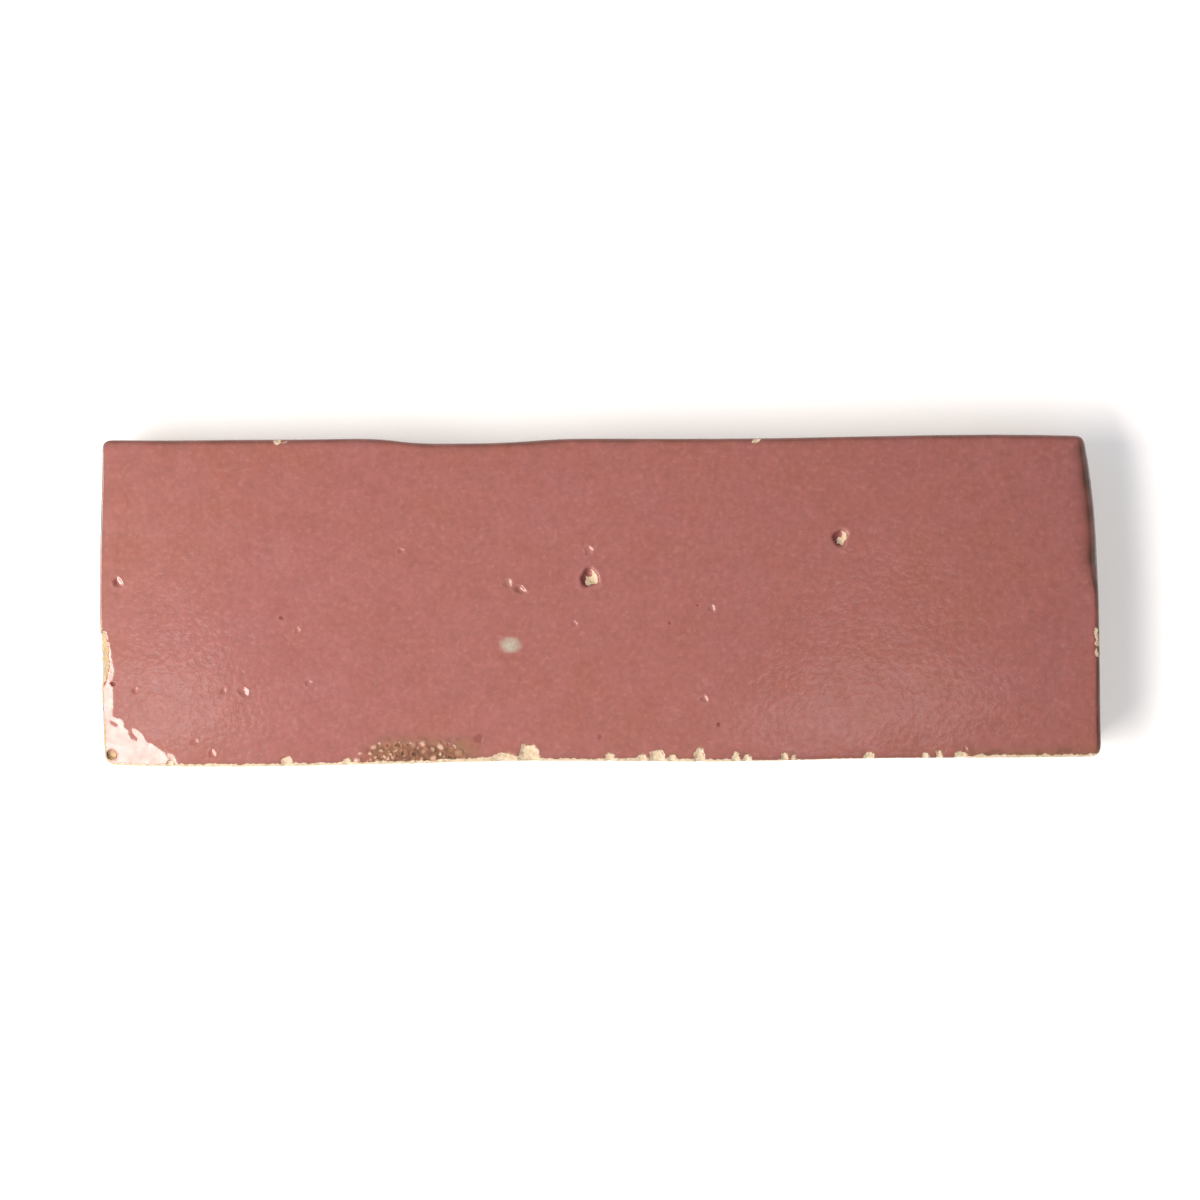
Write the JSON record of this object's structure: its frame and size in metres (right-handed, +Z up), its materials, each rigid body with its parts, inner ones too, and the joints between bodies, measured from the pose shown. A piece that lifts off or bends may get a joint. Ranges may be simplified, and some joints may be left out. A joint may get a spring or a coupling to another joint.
{
  "type": "zellige tile",
  "caption": "Hand-cut brick-format zellige tile of fired earthenware, with an uneven pink glazed face, chipped arrises and rough flanks that lean in to a flat bare back.",
  "frame": {"origin": "centre of the bounding box at the bare back, on the surface the tile lies on", "axes": "+X along the tile, +Y across it, +Z up out of the glazed face"},
  "size_m": [0.15, 0.0492, 0.011],
  "materials": {
    "glazed_earthenware": "gloss pink glaze on the face, bare tan clay on the flanks and back"
  },
  "bodies": {
    "root": {"zellige_tile": "glazed_earthenware"}
  },
  "joints": []
}
